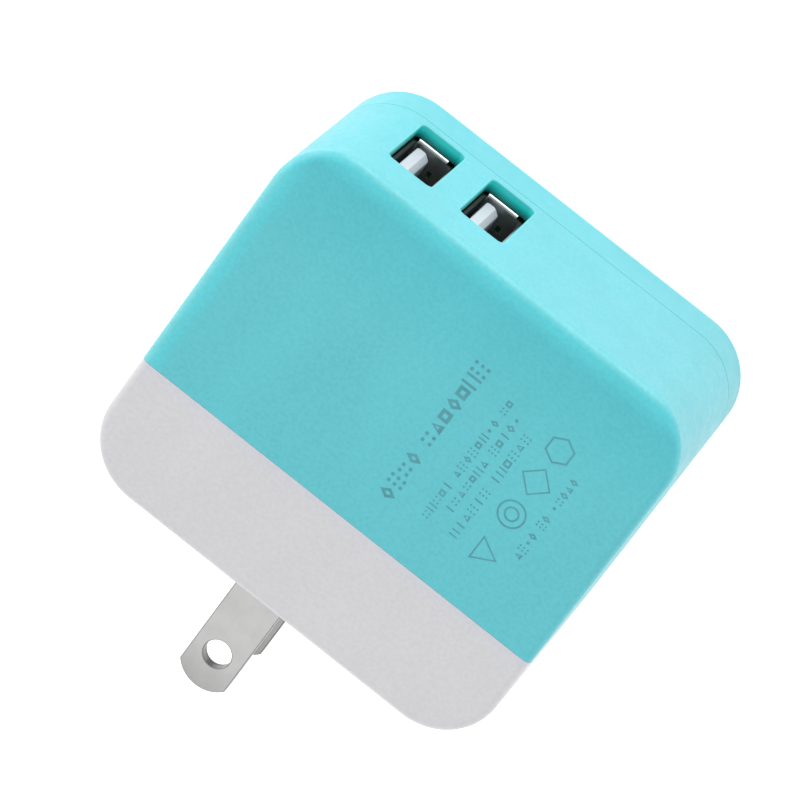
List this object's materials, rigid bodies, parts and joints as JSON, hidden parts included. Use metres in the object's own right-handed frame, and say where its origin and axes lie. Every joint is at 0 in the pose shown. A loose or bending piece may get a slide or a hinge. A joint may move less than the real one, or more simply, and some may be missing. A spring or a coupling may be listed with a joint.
{
  "type": "usb wall charger",
  "caption": "Palm-size rounded-block mains adapter, two-tone shell, stacked USB sockets on one end and a folding flat-blade plug on the other.",
  "frame": {"origin": "middle of the plug face, at the body's mid-depth, on the land between the two plug slots", "axes": "+Y out of the plug face along the open blades, -Y out of the USB face, +Z out of the printed face, +X across it"},
  "size_m": [0.054, 0.0656, 0.0286],
  "materials": {
    "shell_turquoise": "satin moulded plastic with a fine grain",
    "cap_white": "satin moulded plastic, cool white",
    "retainer_black": "moulded plastic",
    "screw_steel": "zinc-plated",
    "blade_nickel": "nickel-plated brass, lightly brushed",
    "contact_brass": "stamped spring brass",
    "wire_red": "PVC wire insulation",
    "wire_black": "PVC wire insulation",
    "board_green": "solder-masked glass-epoxy laminate",
    "solder": "tin solder",
    "ferrite": "sintered ferrite",
    "bobbin_black": "moulded phenolic",
    "tape_yellow": "polyester insulating tape over copper",
    "lead_tin": "tinned copper",
    "sleeve_dark": "shrunk sleeve over an aluminium can",
    "sleeve_green": "shrunk sleeve over an aluminium can",
    "ceramic_blue": "epoxy-dipped ceramic disc",
    "epoxy_black": "moulded epoxy",
    "resistor_green": "flameproof coating",
    "inductor_green": "shrunk sleeve",
    "chip_beige": "sintered ceramic chips",
    "socket_steel": "tin-plated sheet steel",
    "socket_white": "moulded plastic",
    "contact_gold": "gold-flashed brass strip"
  },
  "bodies": {
    "housing": {"front_shell": "shell_turquoise", "back_cover": "shell_turquoise", "plug_cap": "cap_white", "plug_retainer": "retainer_black", "retainer_screws": "screw_steel", "contact_spring_line": "contact_brass", "contact_spring_neutral": "contact_brass", "wire_line": "wire_red", "wire_neutral": "wire_black", "circuit_board": "board_green", "solder_joints": "solder", "transformer_core": "ferrite", "transformer_bobbin": "bobbin_black", "transformer_winding": "tape_yellow", "transformer_pins": "lead_tin", "input_capacitor_1": "sleeve_dark", "input_capacitor_2": "sleeve_dark", "output_capacitor": "sleeve_green", "y_capacitor": "ceramic_blue", "rectifier_diodes": "epoxy_black", "schottky_diode": "epoxy_black", "fusible_resistor": "resistor_green", "filter_inductor": "inductor_green", "controller_ic": "epoxy_black", "chip_components": "chip_beige", "usb_shell_1": "socket_steel", "usb_shell_2": "socket_steel", "usb_insulator_1": "socket_white", "usb_insulator_2": "socket_white", "usb_contacts_1": "contact_gold", "usb_contacts_2": "contact_gold"},
    "folding_plug": {"plug_rocker": "cap_white", "blade_line": "blade_nickel", "blade_neutral": "blade_nickel"}
  },
  "joints": [
    {"name": "plug_fold", "type": "hinge", "parent": "housing", "child": "folding_plug", "pos_m": [0.0014, -0.0038, 0], "axis": [0, 0, 1], "range_deg": [0, 90]}
  ]
}
